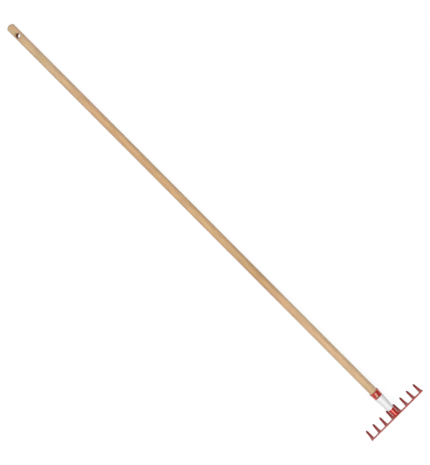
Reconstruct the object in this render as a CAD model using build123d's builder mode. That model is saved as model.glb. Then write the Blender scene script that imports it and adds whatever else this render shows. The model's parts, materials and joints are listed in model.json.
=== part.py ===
from build123d import *
import os
from math import asin, atan2, cos, degrees, sin

# Garden rake: a stamped steel head with curved tines, welded to a rolled socket on a round wooden handle.
# It lies tines down: the tine tips and the rim of the handle's domed end touch z = 0.
# Millimetres and degrees. "Along" runs down the handle from the socket's mouth to the head, "depth" from
# the handle's axis towards the tine tips.

# Handle
handle_length = 1500
handle_diameter = 24
handle_end_dome = 6
hang_hole_diameter = 13
hang_hole_from_end = 39.5
hang_hole_roll = 12

# Socket, a cone of sheet with its seam underneath
socket_length = 89
socket_wall = 1.2
socket_end_diameter = 16
socket_flare = 0.6
socket_flare_length = 4
seam_width = 1.6

# Fit of the handle's tapered end in the socket
mouth_clearance = 1.1
seat_from_mouth = 20
seat_clearance = 0.05
tenon_gap = 4
tenon_chamfer = 1

# Weld between the socket and the head
weld_leg = 2.2

# Head, one plate
plate_thickness = 2.5
flat_reach = 13
bar_height = 11
bar_corner_rounding = 2
tine_count = 8
tine_pitch = 26.3
tine_depth = 57
tine_root_width = 10.6
tine_tip_width = 6.4
tine_point_length = 5
tine_point_width = 3
tine_point_rounding = 1
tine_root_rounding = 4
tine_bend_radius = 73

# Nail through the socket into the handle
nail_from_mouth = 14.5
nail_roll = 8
nail_length = 20
nail_shank_diameter = 3.4
nail_point_length = 4
nail_head_diameter = 7.5
nail_head_thickness = 1.2
nail_head_bevel = 0.9
nail_clearance = 0.05

# Label glued round the front of the socket, away from the seam
label_from_mouth = 20
label_length = 46
label_thickness = 0.15
label_wrap = 210
label_glue = 0.2

# Sizes that follow from those above
handle_radius = handle_diameter / 2
tenon_length = socket_length - tenon_gap
handle_exposed = handle_length - tenon_length
socket_mouth_radius = handle_radius + mouth_clearance + socket_wall
socket_end_radius = socket_end_diameter / 2
socket_taper = (socket_mouth_radius - socket_end_radius) / socket_length
gap_root = bar_height - flat_reach
tine_shoulder = tine_depth - tine_point_length
tine_taper = (tine_root_width - tine_tip_width) / (tine_shoulder - gap_root)
tine_top_width = tine_root_width + tine_taper * bar_height
bar_length = (tine_count - 1) * tine_pitch
nail_head_radius = nail_head_diameter / 2
nail_shank_radius = nail_shank_diameter / 2
nail_hole_radius = nail_shank_radius + nail_clearance


def socket_at(along):
    """Radius of the socket's outside, past the flare."""
    return socket_mouth_radius - socket_taper * along


def bore_at(along):
    """Radius of the socket's tapered bore."""
    return socket_at(along) - socket_wall


# Slope of the handle where the tine tips and the rim of the domed end rest on the ground
tip_along = socket_length - tine_bend_radius * (1 - cos(asin((tine_depth - flat_reach) / tine_bend_radius)))
shaft_length = handle_exposed - handle_end_dome
lie_angle = atan2(tine_depth - handle_radius, tip_along + shaft_length)

# Planes: across the socket's mouth, and the side view through the handle's axis
mouth_height = tine_depth * cos(lie_angle) - tip_along * sin(lie_angle)
mouth_forward = (handle_exposed - socket_length - plate_thickness) / 2 * cos(lie_angle)
along_handle = Vector(0, cos(lie_angle), sin(lie_angle))
mouth = Plane(origin=(0, mouth_forward, mouth_height), x_dir=(1, 0, 0), z_dir=along_handle)
side = Plane(origin=mouth.origin, x_dir=along_handle, z_dir=(-1, 0, 0))
handle_axis = Axis(mouth.origin, along_handle)

# The nail sits square on the socket's cone, rolled a little about the handle from straight up
nail_outward = (-mouth.y_dir).rotate(handle_axis, nail_roll)
nail_seat = Plane(
    origin=mouth.offset(nail_from_mouth).origin + nail_outward * (socket_at(nail_from_mouth) + nail_clearance),
    x_dir=mouth.x_dir.rotate(handle_axis, nail_roll),
    z_dir=nail_outward + along_handle * socket_taper,
)
nail_side = Plane(origin=nail_seat.origin, x_dir=nail_seat.x_dir, z_dir=-nail_seat.y_dir)

# The hang hole crosses the handle's axis, rolled a little about it too
hang_hole = Plane(
    origin=mouth.offset(hang_hole_from_end - handle_exposed).origin,
    x_dir=along_handle,
    z_dir=(-mouth.y_dir).rotate(handle_axis, hang_hole_roll),
)

# The label starts as far from the seam as it ends
label_start = Plane(
    origin=mouth.origin,
    x_dir=along_handle,
    z_dir=side.z_dir.rotate(handle_axis, (360 - label_wrap) / 2),
)

# Handle: a pole with a domed end, a hang hole and a tapered tenon for the socket
with BuildPart() as handle:
    with BuildSketch(side):
        with BuildLine():
            dome = TangentArc((-handle_exposed, 0), (-shaft_length, handle_radius), tangent=(0, 1))
            Polyline(
                dome @ 1,
                (0, handle_radius),
                (seat_from_mouth, bore_at(seat_from_mouth) - seat_clearance),
                (tenon_length, bore_at(tenon_length) - seat_clearance),
                (tenon_length, 0),
                dome @ 0,
            )
        make_face()
    revolve(axis=handle_axis)
    chamfer(handle.edges().filter_by(GeomType.CIRCLE).sort_by(handle_axis)[-1], tenon_chamfer)
    with Locations(hang_hole):
        Hole(hang_hole_diameter / 2)
    with Locations(nail_seat):
        Hole(nail_hole_radius, depth=nail_length + nail_clearance)

# Socket: a flared cone, slit along its underside and holed for the nail
with BuildPart() as socket:
    with BuildSketch(side):
        with BuildLine():
            Polyline(
                (0, bore_at(0) + socket_flare),
                (socket_flare_length, bore_at(socket_flare_length)),
                (socket_length, bore_at(socket_length)),
                (socket_length, socket_at(socket_length)),
                (socket_flare_length, socket_at(socket_flare_length)),
                (0, socket_at(0) + socket_flare),
                close=True,
            )
        make_face()
    revolve(axis=handle_axis)
    with BuildSketch(mouth):
        Rectangle(seam_width, handle_diameter, align=(Align.CENTER, Align.MIN))
    extrude(amount=socket_length, mode=Mode.SUBTRACT)
    with Locations(nail_seat):
        Hole(nail_hole_radius, depth=handle_radius)

# Head: a plate bent along its tines, cut to the outline of the bar, the tines and the web behind the socket
with BuildPart() as tine_head:
    bend_centre = (socket_length - tine_bend_radius, flat_reach)
    bend_sweep = degrees(asin((tine_depth + plate_thickness - flat_reach) / tine_bend_radius))
    with BuildSketch(side):
        with BuildLine():
            inner_flat = Line((socket_length, -flat_reach), (socket_length, flat_reach))
            inner_bend = CenterArc(bend_centre, tine_bend_radius, 0, bend_sweep)
            outer_bend = CenterArc(bend_centre, tine_bend_radius + plate_thickness, 0, bend_sweep)
            outer_flat = Line(outer_bend @ 0, (socket_length + plate_thickness, -flat_reach))
            Line(inner_bend @ 1, outer_bend @ 1)
            Line(inner_flat @ 0, outer_flat @ 1)
        make_face()
    extrude(amount=bar_length, both=True)
    with BuildSketch(mouth.offset(socket_length)) as comb:
        with Locations((0, -flat_reach)):
            Rectangle(bar_length, bar_height, align=(Align.CENTER, Align.MIN))
            Rectangle(tine_pitch, 2 * flat_reach, align=(Align.CENTER, Align.MIN))
        with GridLocations(tine_pitch, 0, tine_count, 1):
            Polygon(
                (-tine_top_width / 2, -flat_reach),
                (-tine_tip_width / 2, tine_shoulder),
                (-tine_point_width / 2, tine_depth),
                (tine_point_width / 2, tine_depth),
                (tine_tip_width / 2, tine_shoulder),
                (tine_top_width / 2, -flat_reach),
                align=None,
            )
        fillet(comb.vertices().group_by(Axis.Y)[-1], tine_point_rounding)
        rows = comb.vertices().group_by(Axis.Y)
        fillet(rows[1] + rows[2], tine_root_rounding)
        fillet(comb.vertices().group_by(Axis.Y)[0], bar_corner_rounding)
    extrude(amount=tine_bend_radius, both=True, mode=Mode.INTERSECT)

# Weld: a flat fillet round the socket's end
with BuildPart() as weld_bead:
    with BuildSketch(side):
        with BuildLine():
            Polyline(
                (socket_length, socket_end_radius),
                (socket_length, socket_end_radius + weld_leg),
                (socket_length - weld_leg, socket_at(socket_length - weld_leg)),
                close=True,
            )
        make_face()
    revolve(axis=handle_axis)

# Nail: a flat head with a bevelled edge, a round shank and a point
with BuildPart() as fixing_nail:
    with BuildSketch(nail_side):
        with BuildLine():
            Polyline(
                (0, nail_head_thickness),
                (nail_head_radius - nail_head_bevel, nail_head_thickness),
                (nail_head_radius, nail_head_thickness - nail_head_bevel),
                (nail_head_radius, 0),
                (nail_shank_radius, 0),
                (nail_shank_radius, nail_point_length - nail_length),
                (0, -nail_length),
                close=True,
            )
        make_face()
    revolve(axis=Axis(nail_seat.origin, nail_seat.z_dir))

# Label: a thin band over a film of glue on the socket's cone
with BuildPart() as label:
    label_end = label_from_mouth + label_length
    start_radius = socket_at(label_from_mouth) + label_glue
    end_radius = socket_at(label_end) + label_glue
    with BuildSketch(label_start):
        with BuildLine():
            Polyline(
                (label_from_mouth, start_radius),
                (label_end, end_radius),
                (label_end, end_radius + label_thickness),
                (label_from_mouth, start_radius + label_thickness),
                close=True,
            )
        make_face()
    revolve(axis=handle_axis, revolution_arc=label_wrap)

handle.part.label = "handle"
socket.part.label = "socket"
tine_head.part.label = "tine_head"
weld_bead.part.label = "weld_bead"
fixing_nail.part.label = "fixing_nail"
label.part.label = "label"

os.makedirs("parts", exist_ok=True)
export_step(handle.part, "parts/handle.step")
export_step(socket.part, "parts/socket.step")
export_step(tine_head.part, "parts/tine_head.step")
export_step(weld_bead.part, "parts/weld_bead.step")
export_step(fixing_nail.part, "parts/fixing_nail.step")
export_step(label.part, "parts/label.step")
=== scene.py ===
"""Garden rake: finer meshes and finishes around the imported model, seen as in the photograph."""
import json
import math

import bmesh
import bpy
from mathutils import Matrix, Vector, noise


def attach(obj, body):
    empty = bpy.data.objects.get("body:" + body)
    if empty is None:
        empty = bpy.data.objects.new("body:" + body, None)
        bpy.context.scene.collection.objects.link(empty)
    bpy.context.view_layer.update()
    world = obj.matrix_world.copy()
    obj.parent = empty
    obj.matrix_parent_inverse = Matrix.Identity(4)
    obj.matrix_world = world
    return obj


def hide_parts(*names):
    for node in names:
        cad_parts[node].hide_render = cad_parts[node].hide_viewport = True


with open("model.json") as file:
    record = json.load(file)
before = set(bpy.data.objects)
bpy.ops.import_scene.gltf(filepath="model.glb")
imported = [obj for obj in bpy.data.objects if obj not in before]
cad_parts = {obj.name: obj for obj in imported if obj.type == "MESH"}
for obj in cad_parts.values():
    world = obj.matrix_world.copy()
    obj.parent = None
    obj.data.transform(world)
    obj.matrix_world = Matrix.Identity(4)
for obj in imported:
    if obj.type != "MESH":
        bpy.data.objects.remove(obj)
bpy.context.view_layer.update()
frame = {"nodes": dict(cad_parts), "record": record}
scene = bpy.context.scene

# Sizes are millimetres and degrees, and meshes are metres
MM = 0.001

# The handle's own frame: x across, y in depth from the handle's axis to the tine tips, z along the handle
# from the socket's mouth to the head
mounts = {mount["name"]: mount for mount in frame["record"]["mounts"]}
shaft = mounts["handle_shaft"]
hang_hole = mounts["hang_hole"]
shaft_length = shaft["dims"]["length_mm"]
handle_radius = shaft["dims"]["r_mm"]
along = -Vector(shaft["axis"])
across = Vector((1, 0, 0))
depth = along.cross(across)
own_frame = Matrix((across, depth, along)).transposed().to_4x4()
own_frame.translation = Vector(shaft["pos_m"]) + along * shaft_length / 2 * MM
to_own_frame = own_frame.inverted()

# The hang hole's frame: x along the handle, z out of the hole
hole_axis = Vector(hang_hole["axis"])
hole_frame = Matrix((along, hole_axis.cross(along), hole_axis)).transposed().to_4x4()
hole_frame.translation = hang_hole["pos_m"]


def reach(node):
    """Lowest and highest corner of a CAD node in the handle's own frame, in millimetres."""
    points = [to_own_frame @ vertex.co / MM for vertex in frame["nodes"][node].data.vertices]
    return Vector(map(min, zip(*points))), Vector(map(max, zip(*points)))


handle_low, handle_high = reach("handle")
_, socket_high = reach("socket")
head_low, head_high = reach("tine_head")
_, weld_high = reach("weld_bead")
label_low, label_high = reach("label")

# Handle
dome_height = -shaft_length - handle_low.z
dome_radius = (handle_radius**2 + dome_height**2) / (2 * dome_height)
dome_rim_rounding = 1.5
shaft_ring_spacing = 60
hole_radius = hang_hole["dims"]["r_mm"]
hole_along = (to_own_frame @ hole_frame.translation).z / MM
hole_edge = 0.8
hole_step = 0.03
hole_margin = 0.6

# Socket
socket_wall = 1.2
socket_end_radius = 8
socket_flare = 0.6
flare_length = 4
seam_width = 1.6
seat_from_mouth = 20
seat_clearance = 0.05
rim_rounding = 0.45
flare_rounding = 8
sheet_edge = 0.2
socket_length = socket_high.z
mouth_radius = socket_high.x - socket_flare
socket_taper = (mouth_radius - socket_end_radius) / socket_length

# Head
tine_count = 8
tine_pitch = 26.3
tine_root_width = 10.6
tine_tip_width = 6.4
tine_point_length = 5
tine_point_width = 3
tine_point_rounding = 1
tine_root_rounding = 4
bend_radius = 73
bend_margin = 0.05
bend_first_cut = 0.6
bend_cuts = 10
bar_height = 11
bar_corner_rounding = 2
plate_edge = 0.5
bar_top = head_low.y
flat_reach = -bar_top
gap_root = bar_top + bar_height
tine_depth = head_high.y
plate_thickness = head_high.z - socket_length - bend_margin

# Weld
weld_leg = weld_high.x - socket_end_radius
weld_bulge = 0.5
weld_ripples = 38
weld_ripple_steps = 8
weld_ripple_height = 0.16
weld_ripple_lean = 0.8
weld_wander_scale = 3
weld_wander_share = 0.5

# Nail
nail_from_mouth = 14.5
nail_roll = 8
nail_clearance = 0.05
nail_length = 20
nail_point_length = 4
nail_shank_radius = 1.7
nail_head_radius = 3.75
nail_head_thickness = 1.2
nail_rim_height = 0.3
nail_rim_rounding = 0.1
nail_dent = 0.07
nail_dents_per_mm = 0.45

# Label
label_seat = 0.03
label_rise = 0.35
label_wrap = 210
label_corner_rounding = 4
label_cuts = 48


def point(x, y, z):
    """A place in the handle's own frame, from millimetres to metres."""
    return Vector((x, y, z)) * MM


def around(radius, turn, z):
    """A place at a radius and a turn round z, counted from y."""
    return point(radius * math.sin(turn), radius * math.cos(turn), z)


def socket_at(z):
    """Radius of the socket's outside, past the flare."""
    return mouth_radius - socket_taper * z


def rounded(corners, steps=6):
    """Closed outline through (x, y, radius) corners, with each corner rounded by an arc."""
    outline = []
    for last, corner, following in zip(corners[-1:] + corners[:-1], corners, corners[1:] + corners[:1]):
        middle = Vector(corner[:2])
        radius = corner[2]
        if radius == 0:
            outline.append(middle)
            continue
        back = (Vector(last[:2]) - middle).normalized()
        ahead = (Vector(following[:2]) - middle).normalized()
        half_angle = back.angle(ahead) / 2
        centre = middle + (back + ahead).normalized() * radius / math.sin(half_angle)
        start = middle + back * radius / math.tan(half_angle) - centre
        end = middle + ahead * radius / math.tan(half_angle) - centre
        turn = end.angle_signed(start)
        for step in range(steps + 1):
            outline.append(centre + Matrix.Rotation(turn * step / steps, 2) @ start)
    return outline


# Meshes


def turned(profile, segments):
    """Solid of revolution about z from (z, radius) points that start and end on the axis."""
    bm = bmesh.new()
    rings = []
    for z, radius in profile:
        count = segments if radius > 0 else 1
        turns = [math.tau * i / count for i in range(count)]
        rings.append([bm.verts.new(around(radius, a, z)) for a in turns])
    for ring, after in zip(rings, rings[1:]):
        for i in range(segments):
            corners = [ring[i % len(ring)], ring[(i + 1) % len(ring)]]
            corners += [after[(i + 1) % len(after)], after[i % len(after)]]
            bm.faces.new(dict.fromkeys(corners))
    return bm


def rolled(profile, slit, segments):
    """Sheet rolled round z from a closed outline of (z, radius) points, open along a slit underneath."""
    bm = bmesh.new()
    rows = []
    for z, radius in profile:
        start = math.asin(slit / 2 / radius)
        turns = [start + (math.tau - 2 * start) * i / segments for i in range(segments + 1)]
        rows.append([bm.verts.new(around(radius, a, z)) for a in turns])
    for row, after in zip(rows, rows[1:] + rows[:1]):
        for i in range(segments):
            bm.faces.new((row[i], row[i + 1], after[i + 1], after[i]))
    bm.faces.new([row[0] for row in rows])
    bm.faces.new([row[-1] for row in rows])
    return bm


def cut_sheet(outline, cuts, front, back):
    """Sheet cut to a flat outline and bent; front and back place an outline point on each face."""
    flat = bmesh.new()
    flat.faces.new([flat.verts.new((x, y, 0)) for x, y in outline])
    for place, direction in cuts:
        geometry = flat.verts[:] + flat.edges[:] + flat.faces[:]
        bmesh.ops.bisect_plane(flat, geom=geometry, plane_co=place, plane_no=direction)
    bm = bmesh.new()
    fronts = {v: bm.verts.new(front(v.co.x, v.co.y)) for v in flat.verts}
    backs = {v: bm.verts.new(back(v.co.x, v.co.y)) for v in flat.verts}
    for face in flat.faces:
        bm.faces.new([fronts[v] for v in face.verts])
        bm.faces.new([backs[v] for v in reversed(face.verts)])
    for edge in flat.edges:
        if edge.is_boundary:
            a, b = edge.verts
            bm.faces.new((fronts[a], fronts[b], backs[b], backs[a]))
    flat.free()
    return bm


def make_piece(name, bm, materials, node, place=own_frame):
    """Object from a mesh in the making, standing for a CAD node."""
    bmesh.ops.recalc_face_normals(bm, faces=bm.faces[:])
    mesh = bpy.data.meshes.new(name)
    bm.to_mesh(mesh)
    bm.free()
    mesh.transform(place)
    mesh.shade_smooth()
    for material in materials:
        mesh.materials.append(material)
    piece = bpy.data.objects.new(name, mesh)
    scene.collection.objects.link(piece)
    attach(piece, "root")
    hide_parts(node)
    return piece


def soften(piece, width, segments=3, angle=40):
    """Rounds the sharp edges of a piece."""
    bevel = piece.modifiers.new("edges", "BEVEL")
    bevel.width = width * MM
    bevel.segments = segments
    bevel.limit_method = "ANGLE"
    bevel.angle_limit = math.radians(angle)
    bevel.use_clamp_overlap = False
    bevel.harden_normals = True


def keep_edges_crisp(piece, angle=35):
    """Shades a piece smooth but for its sharp edges."""
    piece.data.set_sharp_from_angle(angle=math.radians(angle))


def handle_mesh():
    """Pole with a domed end, and the tenon that the socket hides."""
    dome_steps = 8
    dome_span = math.asin(handle_radius / dome_radius)
    corners = [(handle_low.z, 0, 0)]
    for step in range(1, dome_steps):
        a = dome_span * step / dome_steps
        corners.append((handle_low.z + dome_radius * (1 - math.cos(a)), dome_radius * math.sin(a), 0))
    corners.append((-shaft_length, handle_radius, dome_rim_rounding))
    hole_reach = hole_radius + hole_edge + hole_margin
    corners.append((hole_along - hole_reach, handle_radius, 0))
    corners.append((hole_along + hole_reach, handle_radius, 0))
    ring_count = round(shaft_length / shaft_ring_spacing)
    for ring in range(1, ring_count + 1):
        corners.append((-shaft_length * (1 - ring / ring_count), handle_radius, 0))
    for z in (seat_from_mouth, handle_high.z):
        corners.append((z, socket_at(z) - socket_wall - seat_clearance, 0))
    corners.append((handle_high.z, 0, 0))
    return turned(rounded(corners), segments=72)


def bore_mesh():
    """Cutter for the hang hole, flared to ease the hole's edges, which keep the pole's own finish."""
    segments = 56
    steps = 5
    wall_face = steps + 1

    def surface(radius, turn):
        """Radius and height of the pole's surface beside the hole."""
        return Vector((radius, math.sqrt(handle_radius**2 - (radius * math.sin(turn)) ** 2)))

    bm = bmesh.new()
    columns = []
    for i in range(segments):
        a = math.tau * i / segments
        eased = surface(hole_radius + hole_edge, a) - Vector((0, hole_step))
        rim = surface(hole_radius, a)
        wall = rim - Vector((0, hole_edge))
        half = [Vector((eased.x, 2 * handle_radius))]
        for step in range(steps + 1):
            share = step / steps
            half.append(eased.lerp(rim, share).lerp(rim.lerp(wall, share), share))
        profile = half + [Vector((r, -z)) for r, z in reversed(half)]
        columns.append([bm.verts.new(point(r * math.cos(a), r * math.sin(a), z)) for r, z in profile])
    for column, after in zip(columns, columns[1:] + columns[:1]):
        for i in range(len(column) - 1):
            face = bm.faces.new((column[i], column[i + 1], after[i + 1], after[i]))
            face.material_index = 1 if i == wall_face else 0
    bm.faces.new([column[0] for column in columns])
    bm.faces.new([column[-1] for column in columns])
    bmesh.ops.recalc_face_normals(bm, faces=bm.faces[:])
    return bm


def drill(piece):
    """Drills the hang hole through the handle."""
    bm = bore_mesh()
    mesh = bpy.data.meshes.new("bore")
    bm.to_mesh(mesh)
    bm.free()
    for material in piece.data.materials:
        mesh.materials.append(material)
    cutter = bpy.data.objects.new("bore", mesh)
    cutter.matrix_world = hole_frame
    scene.collection.objects.link(cutter)
    cut = piece.modifiers.new("hang hole", "BOOLEAN")
    cut.object = cutter
    cut.material_mode = "TRANSFER"
    bpy.context.view_layer.update()
    drilled = piece.evaluated_get(bpy.context.evaluated_depsgraph_get())
    piece.data = bpy.data.meshes.new_from_object(drilled)
    piece.modifiers.remove(cut)
    bpy.data.objects.remove(cutter)
    keep_edges_crisp(piece)


def socket_mesh():
    """Rolled sheet cone with a flared, rounded mouth and an open seam underneath."""
    flare_outside = socket_at(flare_length)
    profile = rounded(
        [
            (0, mouth_radius + socket_flare, rim_rounding),
            (flare_length, flare_outside, flare_rounding),
            (socket_length, socket_end_radius, 0),
            (socket_length, socket_end_radius - socket_wall, 0),
            (flare_length, flare_outside - socket_wall, flare_rounding),
            (0, mouth_radius + socket_flare - socket_wall, rim_rounding),
        ]
    )
    return rolled(profile, seam_width, segments=96)


def head_mesh():
    """One plate cut to a bar, a web and eight tapered tines, the tines bent back towards the handle."""
    shoulder = tine_depth - tine_point_length
    taper = (tine_root_width - tine_tip_width) / (shoulder - gap_root)
    end_tine = (tine_count - 1) / 2 * tine_pitch

    def half_width(y):
        return (tine_root_width - taper * (y - gap_root)) / 2

    corners = [
        (-end_tine - half_width(bar_top), bar_top, bar_corner_rounding),
        (end_tine + half_width(bar_top), bar_top, bar_corner_rounding),
    ]
    for tine in range(tine_count):
        x = end_tine - tine * tine_pitch
        corners.append((x + half_width(shoulder), shoulder, 0))
        corners.append((x + tine_point_width / 2, tine_depth, tine_point_rounding))
        corners.append((x - tine_point_width / 2, tine_depth, tine_point_rounding))
        corners.append((x - half_width(shoulder), shoulder, 0))
        if tine < tine_count - 1:
            root = flat_reach if tine == tine_count // 2 - 1 else gap_root
            corners.append((x - half_width(root), root, tine_root_rounding))
            corners.append((x - tine_pitch + half_width(root), root, tine_root_rounding))

    def bent(radius, y):
        """Place along the handle of a face of the plate, bent past the flat."""
        rise = max(y - flat_reach, 0)
        return socket_length - bend_radius + math.sqrt(radius**2 - rise**2)

    def inside(x, y):
        return point(x, y, bent(bend_radius, y))

    def outside(x, y):
        return point(x, y, bent(bend_radius + plate_thickness, y))

    first_cut = flat_reach + bend_first_cut
    cuts = []
    for cut in range(bend_cuts):
        y = first_cut + (tine_depth - first_cut) * cut / bend_cuts
        cuts.append(((0, y, 0), (0, 1, 0)))
    return cut_sheet(rounded(corners, steps=8), cuts, outside, inside)


def weld_mesh():
    """Fillet weld round the socket's end, rippled like a row of overlapping drops."""
    steps = weld_ripples * weld_ripple_steps
    rows = 7
    bm = bmesh.new()
    toe = Vector((socket_length, socket_end_radius + weld_leg))
    foot = Vector((socket_length - weld_leg, socket_at(socket_length - weld_leg)))
    outward = Vector((-1, 1)).normalized()
    rings = []
    for step in range(steps):
        a = math.tau * step / steps
        wander = noise.noise(Vector((math.sin(a), math.cos(a), 0)) * weld_wander_scale)
        bulge = weld_bulge * (1 + wander * weld_wander_share)
        ring = [bm.verts.new(around(socket_end_radius, a, socket_length))]
        for row in range(rows):
            share = row / (rows - 1)
            crown = math.sin(math.pi * share)
            ripple = math.cos(weld_ripples * a + weld_ripple_lean * crown + wander)
            swell = crown * (bulge + weld_ripple_height * ripple)
            z, radius = toe.lerp(foot, share) + outward * swell
            ring.append(bm.verts.new(around(radius, a, z)))
        rings.append(ring)
    for ring, after in zip(rings, rings[1:] + rings[:1]):
        for i in range(len(ring)):
            j = (i + 1) % len(ring)
            bm.faces.new((ring[i], ring[j], after[j], after[i]))
    return bm


def nail_mesh():
    """Nail with a domed, slightly dented head, a round shank and a point."""
    dome_steps = 8
    corners = []
    for step in range(dome_steps + 1):
        share = step / dome_steps
        drop = (nail_head_thickness - nail_rim_height) * share**2
        corners.append((nail_head_thickness - drop, nail_head_radius * share, 0))
    corners += [
        (0, nail_head_radius, nail_rim_rounding),
        (0, nail_shank_radius, 0),
        (nail_point_length - nail_length, nail_shank_radius, 0),
        (-nail_length, 0, 0),
    ]
    bm = turned(rounded(corners), segments=48)
    for vertex in bm.verts:
        if vertex.co.z > nail_rim_height * MM:
            vertex.co.z -= abs(noise.noise(vertex.co / MM * nail_dents_per_mm)) * nail_dent * MM
    return bm


def nail_frame():
    """The nail's frame, square on the socket's cone: x across, y along the handle, z out of its head."""
    seat = socket_at(nail_from_mouth) + nail_clearance
    lean = math.atan(socket_taper)
    place = own_frame @ Matrix.Rotation(math.radians(nail_roll), 4, "Z")
    place @= Matrix.Translation(point(0, -seat, nail_from_mouth))
    return place @ Matrix.Rotation(math.radians(90) - lean, 4, "X")


def label_mesh():
    """Film with rounded corners, glued round the front of the socket."""
    arc = math.radians(label_wrap / 2)
    low = label_low.z
    high = label_high.z
    radius = socket_at((low + high) / 2)
    side = arc * radius
    corners = []
    for x, z in ((-side, low), (side, low), (side, high), (-side, high)):
        corners.append((x, z, label_corner_rounding))

    def wrapped(x, z, rise):
        r = socket_at(z) + rise
        return point(r * math.sin(x / radius), -r * math.cos(x / radius), z)

    def face(x, z):
        return wrapped(x, z, label_rise)

    def glued(x, z):
        return wrapped(x, z, label_seat)

    cuts = []
    for cut in range(1, label_cuts):
        cuts.append(((side * (2 * cut / label_cuts - 1), 0, 0), (1, 0, 0)))
    return cut_sheet(rounded(corners), cuts, face, glued)


# Materials


def new_material(name):
    """A material as two functions, one to add nodes and one to set the shader, with inputs by keyword."""
    material = bpy.data.materials.new(name)
    material.use_nodes = True
    tree = material.node_tree
    shader = tree.nodes["Principled BSDF"]

    def connect(node, key, value):
        socket = node.inputs[key if isinstance(key, int) else key.replace("_", " ")]
        if isinstance(value, bpy.types.NodeSocket):
            tree.links.new(value, socket)
        else:
            socket.default_value = value

    def add(kind, *places, output=0, settings=None, **inputs):
        node = tree.nodes.new("ShaderNode" + kind)
        for key, value in (settings or {}).items():
            setattr(node, key, value)
        for key, value in [*places, *inputs.items()]:
            connect(node, key, value)
        return node.outputs[output]

    def finish(**inputs):
        for key, value in inputs.items():
            connect(shader, key, value)
        return material

    return add, finish


def own_place(add, step, origin=own_frame):
    """Place in a frame, counted in steps of so many millimetres along x, y and z."""
    return add(
        "Mapping",
        settings={"vector_type": "TEXTURE"},
        Vector=add("TexCoord", output="Object"),
        Location=origin.translation,
        Rotation=origin.to_euler(),
        Scale=Vector(step) * MM,
    )


def coordinate(add, axis, origin=own_frame):
    """One coordinate in a frame, in millimetres."""
    return add("SeparateXYZ", output=axis, Vector=own_place(add, (1, 1, 1), origin))


def from_axis(add, origin, stretch=1):
    """Distance from a frame's z axis, in millimetres, or in longer steps along its x."""
    flattened = 1000
    place = own_place(add, (stretch, 1, flattened), origin)
    return add("VectorMath", (0, place), output="Value", settings={"operation": "LENGTH"})


def cloud(add, step, detail=3.0, roughness=0.55):
    """Soft noise with patches of so many millimetres across, in depth and along."""
    return add("TexNoise", Vector=own_place(add, step), Scale=1.0, Detail=detail, Roughness=roughness)


def ramp(add, value, *stops):
    """Colour or grey by value, through (place, colour) stops."""
    output = add("ValToRGB", Fac=value)
    elements = output.node.color_ramp.elements
    while len(elements) < len(stops):
        elements.new(0.5)
    for element, (place, colour) in zip(elements, stops):
        element.position = place
        element.color = (*colour, 1)
    return output


def grey(level):
    """A grey as a colour."""
    return (level, level, level)


def blend(add, share, first, second, mode="MIX"):
    """Mix of two colours."""
    settings = {"data_type": "RGBA", "blend_type": mode}
    return add("Mix", (0, share), (6, first), (7, second), output=2, settings=settings)


def tint(add, share, colour, shade):
    """Colour multiplied by a shade, by a share."""
    return blend(add, share, colour, (*shade, 1), "MULTIPLY")


def fade(add, value, start, end):
    """0 at one value to 1 at another."""
    return add("MapRange", Value=value, From_Min=start, From_Max=end)


def scaled_sum(add, value, factor, base):
    """A value times a factor, plus a base."""
    return add("Math", (0, value), (1, factor), (2, base), settings={"operation": "MULTIPLY_ADD"})


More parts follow.
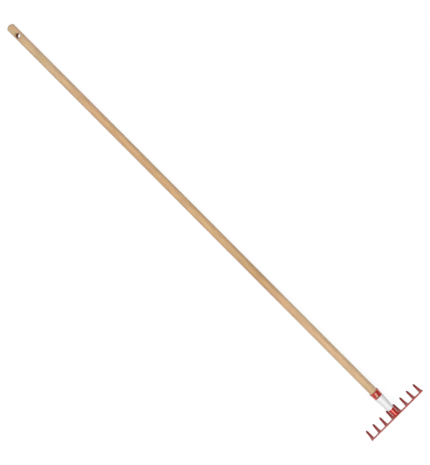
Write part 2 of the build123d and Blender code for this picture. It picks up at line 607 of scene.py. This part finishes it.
def wood(name, early, late, fleck, gloss, shine, sheen):
    """Sanded wood with growth rings, fibres and flecks, darker round the hang hole, and darker end grain
    with painted shade on the domed end.
    """
    ring_spacing = 3.4
    ring_stretch = 70
    pith_place = (-34, -21, 0)
    pith_lean = 0.25
    hole_darkening_reach = 7.4
    hole_darkening_inset = 0.8
    hole_darkening_stretch = 1.5
    fibre_share = 0.7
    patch_share = 0.9
    tone_waver = 0.1
    pore_dullness = 0.2
    shaded = grey(0.84)
    reddish = (1.0, 0.93, 0.88)
    greenish = (0.94, 0.98, 0.9)
    pale = grey(1.0)
    mellow = (0.97, 0.9, 0.8)
    deep = (0.83, 0.72, 0.58)
    darker_by_hole = (0.62, 0.55, 0.48)
    end_grain_and_painted_shade = (0.36, 0.38, 0.44)

    # A wave texture repeats after pi / 10 steps
    ring_step = ring_spacing * 10 / math.pi
    pith = own_frame @ Matrix.Translation(point(*pith_place))
    pith @= Matrix.Rotation(math.radians(pith_lean), 4, "X")
    add, finish = new_material(name)
    rings = add(
        "TexWave",
        settings={"wave_type": "RINGS", "rings_direction": "Z", "wave_profile": "SAW"},
        Vector=own_place(add, (ring_step, ring_step, ring_step * ring_stretch), pith),
        Scale=1.0,
        Distortion=3.0,
        Detail=2.0,
        Detail_Scale=0.9,
    )
    fibres = cloud(add, (0.7, 0.7, 60))
    patches = cloud(add, (16, 16, 300), detail=2.0)
    figure = cloud(add, (9, 9, 40))
    flecks = cloud(add, (0.55, 0.55, 6), detail=1.0)
    pores = cloud(add, (0.3, 0.3, 9), detail=2.0)

    # Rings, fibres, tinted patches and figure
    colour = ramp(add, rings, (0.0, early), (0.6, early), (0.95, late), (1.0, early))
    fibre_shade = ramp(add, fibres, (0.3, shaded), (0.6, pale))
    colour = blend(add, fibre_share, colour, fibre_shade, "MULTIPLY")
    patch_tint = ramp(add, patches, (0.36, reddish), (0.5, pale), (0.64, greenish))
    colour = blend(add, patch_share, colour, patch_tint, "MULTIPLY")
    figure_shade = ramp(add, figure, (0.35, shaded), (0.65, pale))
    colour = blend(add, 1.0, colour, figure_shade, "MULTIPLY")

    # Tone along the pole, from its free end to the socket's mouth, with wavering bounds
    place = coordinate(add, "Z")
    share = scaled_sum(add, patches, tone_waver, fade(add, place, -shaft_length, 0))
    tone = ramp(add, share, (0.17, pale), (0.35, mellow), (0.66, mellow), (0.735, deep), (0.815, pale))
    colour = blend(add, 1.0, colour, tone, "MULTIPLY")

    # Flecks, darker wood round the hang hole, and end grain darkened with painted shade
    fleck_share = ramp(add, flecks, (0.66, grey(0.0)), (0.76, grey(0.5)))
    colour = blend(add, fleck_share, colour, (*fleck, 1))
    # Wood darker in a ring round the hang hole
    from_hole = from_axis(add, hole_frame, hole_darkening_stretch)
    colour = tint(add, fade(add, from_hole, hole_darkening_reach, hole_radius - hole_darkening_inset), colour, darker_by_hole)
    # Painted shade on the domed end, on top of its darker end grain
    colour = tint(add, fade(add, place, -shaft_length, handle_low.z), colour, end_grain_and_painted_shade)

    roughness = ramp(add, pores, (0.3, grey(gloss + pore_dullness)), (0.6, grey(gloss)))
    grain = add("Bump", Strength=0.2, Distance=0.3 * MM, Height=pores)
    grain = add("Bump", Strength=0.15, Distance=0.4 * MM, Height=fibres, Normal=grain)
    return finish(
        Base_Color=colour,
        Roughness=roughness,
        Normal=grain,
        Specular_IOR_Level=shine,
        Sheen_Weight=sheen,
    )


def enamel(name, dark, light, gloss, shine, peel, flake=0.0, ior=1.5):
    """Paint with orange peel, painted shade down the tines, worn to the steel in places, with painted shade
    and dulling grime round the nail.
    """
    painted_tip_shade = (0.56, 0.56, 0.6)
    tip_wear_reach = 12
    top_wear_reach = 0.9
    top_wear_full = 0.1
    wear_on_dim_side = 0.13
    wear_and_painted_glint = 0.26
    bare_from = 0.72
    bare_full = 0.77
    bare_steel = (0.21, 0.19, 0.18)
    shade_and_grime_reach = 2.2
    shade_and_grime_full = 0.4
    painted_nail_shade = (0.5, 0.45, 0.45)
    grime_dullness = 0.4
    scuff_dullness = 0.12

    add, finish = new_material(name)
    patches = cloud(add, (22, 22, 22), detail=4.0)
    fine = cloud(add, (2, 2, 2), detail=2.0)
    scuffs = cloud(add, (1.1, 4, 1.1), detail=6.0, roughness=0.7)
    down = coordinate(add, "Y")
    colour = ramp(add, patches, (0.3, dark), (0.7, light))
    # Painted shade, darker down the tines towards their tips
    colour = tint(add, fade(add, down, flat_reach, tine_depth), colour, painted_tip_shade)

    # Wear at the tine tips and along the top of the bar and the collar; it leans towards one side as a
    # painted highlight on that side's top edge
    tips = fade(add, down, tine_depth - tip_wear_reach, tine_depth)
    top = fade(add, down, bar_top + top_wear_reach, bar_top + top_wear_full)
    rubbed = add("Math", (0, tips), (1, top), settings={"operation": "MAXIMUM"})
    wear_lean_to_painted_glint = add(
        "MapRange",
        Value=coordinate(add, "X"),
        From_Min=head_low.x,
        From_Max=head_high.x,
        To_Min=wear_on_dim_side,
        To_Max=wear_and_painted_glint,
    )
    worn = scaled_sum(add, rubbed, wear_lean_to_painted_glint, scuffs)
    bare = ramp(add, worn, (bare_from, grey(0.0)), (bare_full, grey(1.0)))
    colour = blend(add, bare, colour, (*bare_steel, 1))
    metal = ramp(add, worn, (bare_from, grey(flake)), (bare_full, grey(1.0)))

    # Painted shade round the nail head, with grime that dulls the paint there
    from_nail = from_axis(add, nail_frame())
    nail_shade_and_grime = fade(add, from_nail, nail_head_radius + shade_and_grime_reach, nail_head_radius + shade_and_grime_full)
    colour = tint(add, nail_shade_and_grime, colour, painted_nail_shade)

    roughness = ramp(add, scuffs, (0.35, grey(gloss)), (0.75, grey(gloss + scuff_dullness)))
    roughness = scaled_sum(add, nail_shade_and_grime, grime_dullness, roughness)
    skin = add("Bump", Strength=peel, Distance=0.3 * MM, Height=fine)
    return finish(
        Base_Color=colour,
        Metallic=metal,
        Roughness=roughness,
        Normal=skin,
        Specular_IOR_Level=shine,
        IOR=ior,
    )


def film(name):
    """Satin white label film, faintly mottled."""
    bluish = (0.85, 0.85, 0.86)
    white = grey(0.89)
    add, finish = new_material(name)
    mottle = cloud(add, (6, 6, 6), detail=4.0)
    fibres = cloud(add, (0.5, 0.5, 2), detail=2.0)
    colour = ramp(add, mottle, (0.3, bluish), (0.7, white))
    roughness = ramp(add, mottle, (0.3, grey(0.3)), (0.7, grey(0.4)))
    skin = add("Bump", Strength=0.08, Distance=0.2 * MM, Height=fibres)
    return finish(Base_Color=colour, Roughness=roughness, Normal=skin)


def zinc(name):
    """Yellowish plating, scratched and dulled brown in patches, with painted shade towards one side."""
    dulled = (0.46, 0.27, 0.18)
    bright = (0.86, 0.57, 0.38)
    shaded_side_turn = 135
    side_shade_from = -0.8
    side_shade_full = 1.6
    painted_side_shade = (0.4, 0.34, 0.22)
    add, finish = new_material(name)
    dull = cloud(add, (1.4, 1.4, 1.4), detail=4.0)
    scratches = cloud(add, (3, 3, 0.25), detail=2.0)
    colour = ramp(add, dull, (0.35, dulled), (0.65, bright))
    # Painted shade across the head, darker towards one side
    one_side = nail_frame() @ Matrix.Rotation(math.radians(shaded_side_turn), 4, "Z")
    side_shade = fade(add, coordinate(add, "X", one_side), side_shade_from, side_shade_full)
    colour = tint(add, side_shade, colour, painted_side_shade)
    roughness = ramp(add, dull, (0.3, grey(0.5)), (0.7, grey(0.36)))
    skin = add("Bump", Strength=0.15, Distance=0.1 * MM, Height=scratches)
    return finish(Base_Color=colour, Metallic=1.0, Roughness=roughness, Normal=skin)


# Pieces

pole_wood = wood(
    "pole_wood",
    early=(0.82, 0.558, 0.32),
    late=(0.666, 0.422, 0.217),
    fleck=(0.36, 0.2, 0.09),
    gloss=0.42,
    shine=0.3,
    sheen=0.6,
)
bored_wood = wood(
    "bored_wood",
    early=(0.72, 0.38, 0.16),
    late=(0.54, 0.26, 0.11),
    fleck=(0.2, 0.09, 0.03),
    gloss=0.7,
    shine=0.1,
    sheen=0,
)
socket_red = enamel(
    "socket_red",
    dark=(0.57, 0.018, 0.008),
    light=(0.64, 0.025, 0.012),
    gloss=0.12,
    shine=1.0,
    peel=0.08,
    flake=0.22,
    ior=1.65,
)
head_red = enamel(
    "head_red",
    dark=(0.52, 0.036, 0.022),
    light=(0.58, 0.046, 0.03),
    gloss=0.34,
    shine=0.2,
    peel=0.15,
)
weld_red = enamel(
    "weld_red",
    dark=(0.52, 0.024, 0.012),
    light=(0.58, 0.032, 0.017),
    gloss=0.24,
    shine=0.6,
    peel=0.3,
)

handle = make_piece("pole", handle_mesh(), [pole_wood, bored_wood], "handle")
drill(handle)
socket = make_piece("rolled_socket", socket_mesh(), [socket_red], "socket")
soften(socket, sheet_edge, segments=2, angle=60)
head = make_piece("tined_head", head_mesh(), [head_red], "tine_head")
soften(head, plate_edge)
weld = make_piece("weld", weld_mesh(), [weld_red], "weld_bead")
keep_edges_crisp(weld, angle=60)
nail = make_piece("nail", nail_mesh(), [zinc("zinc_plate")], "fixing_nail", nail_frame())
keep_edges_crisp(nail)
label = make_piece("bare_label", label_mesh(), [film("label_film_white")], "label")
keep_edges_crisp(label)


# Stage, in metres


def showing_rays(nodes, links):
    """1 for rays that show the background to the camera, straight, in gloss or through glass, and else 0."""
    path = nodes.new("ShaderNodeLightPath")
    total = path.outputs["Is Camera Ray"]
    for kind in ("Is Glossy Ray", "Is Transmission Ray"):
        join = nodes.new("ShaderNodeMath")
        join.operation = "MAXIMUM"
        links.new(total, join.inputs[0])
        links.new(path.outputs[kind], join.inputs[1])
        total = join.outputs[0]
    return total


def white_floor(size, pale, shadowed, glow):
    """Pale floor that looks white, also in gloss, where nothing shades it."""
    mesh = bpy.data.meshes.new("floor")
    half = size / 2
    corners = [(-half, -half, 0), (half, -half, 0), (half, half, 0), (-half, half, 0)]
    mesh.from_pydata(corners, [], [(0, 1, 2, 3)])
    floor = bpy.data.objects.new("floor", mesh)
    scene.collection.objects.link(floor)
    material = bpy.data.materials.new("floor_white")
    material.use_nodes = True
    nodes = material.node_tree.nodes
    links = material.node_tree.links
    nodes.remove(nodes["Principled BSDF"])
    plain = nodes.new("ShaderNodeBsdfDiffuse")
    plain.inputs["Color"].default_value = (*grey(pale), 1)
    shaded = nodes.new("ShaderNodeBsdfDiffuse")
    shaded.inputs["Color"].default_value = (*grey(shadowed), 1)
    lit = nodes.new("ShaderNodeEmission")
    lit.inputs["Strength"].default_value = glow
    white = nodes.new("ShaderNodeAddShader")
    links.new(shaded.outputs[0], white.inputs[0])
    links.new(lit.outputs[0], white.inputs[1])
    choose = nodes.new("ShaderNodeMixShader")
    links.new(showing_rays(nodes, links), choose.inputs[0])
    links.new(plain.outputs[0], choose.inputs[1])
    links.new(white.outputs[0], choose.inputs[2])
    links.new(choose.outputs[0], nodes["Material Output"].inputs["Surface"])
    mesh.materials.append(material)


def dark_card(place, length, height, level):
    """Upright card beside the handle, for a dark side in the gloss; the camera doesn't see it."""
    mesh = bpy.data.meshes.new("card")
    corners = [(0, y * length / 2, z * height / 2) for y, z in ((-1, -1), (1, -1), (1, 1), (-1, 1))]
    mesh.from_pydata(corners, [], [(0, 1, 2, 3)])
    card = bpy.data.objects.new("card", mesh)
    card.location = place
    card.visible_camera = False
    scene.collection.objects.link(card)
    _, finish = new_material("card_black")
    mesh.materials.append(finish(Base_Color=(*grey(level), 1), Roughness=1.0))


def even_surround(strength):
    """World that lights evenly from all sides."""
    world = bpy.data.worlds.new("studio")
    scene.world = world
    world.use_nodes = True
    ambient = world.node_tree.nodes["Background"]
    ambient.inputs["Color"].default_value = (*grey(1.0), 1)
    ambient.inputs["Strength"].default_value = strength


def softbox(name, place, target, width, length, power):
    """Area light aimed at a target, its length in line with the handle."""
    lamp = bpy.data.lights.new(name, "AREA")
    lamp.shape = "RECTANGLE"
    lamp.size = width
    lamp.size_y = length
    lamp.energy = power
    holder = bpy.data.objects.new(name, lamp)
    holder.location = place
    holder.rotation_euler = (target - place).to_track_quat("-Z", "Y").to_euler()
    scene.collection.objects.link(holder)


# Camera: square to the handle, above it, with the picture's middle on the handle's axis
picture_height = 465
pixel_size = 2.740
middle_from_end = 799.7
camera_distance = 3000
picture_turn = 45.12
sensor = 36

middle = own_frame @ point(0, 0, handle_low.z + middle_from_end)
right = math.sin(math.radians(90 - picture_turn)) * along - math.sin(math.radians(picture_turn)) * across
up = right.cross(depth)
camera_data = bpy.data.cameras.new("camera")
camera_data.sensor_width = sensor
camera_data.lens = sensor * camera_distance / (pixel_size * picture_height)
camera = bpy.data.objects.new("camera", camera_data)
camera.matrix_world = Matrix((right, up, -depth)).transposed().to_4x4()
camera.matrix_world.translation = middle - depth * camera_distance * MM
scene.collection.objects.link(camera)
scene.camera = camera

# Light: a long softbox over the handle, an even surround, and a dark card on the right of the picture
white_floor(size=40, pale=0.3, shadowed=0.2, glow=0.84)
even_surround(strength=0.48)
softbox(
    "strip",
    place=Vector((0.3, 0.3, 2.65)),
    target=Vector((0.3, 0.3, 0)),
    width=1.5,
    length=3.0,
    power=48,
)
dark_card(place=Vector((-1.5, 0.8, 1.4)), length=2.2, height=1.6, level=0.03)
scene.view_settings.view_transform = "Standard"
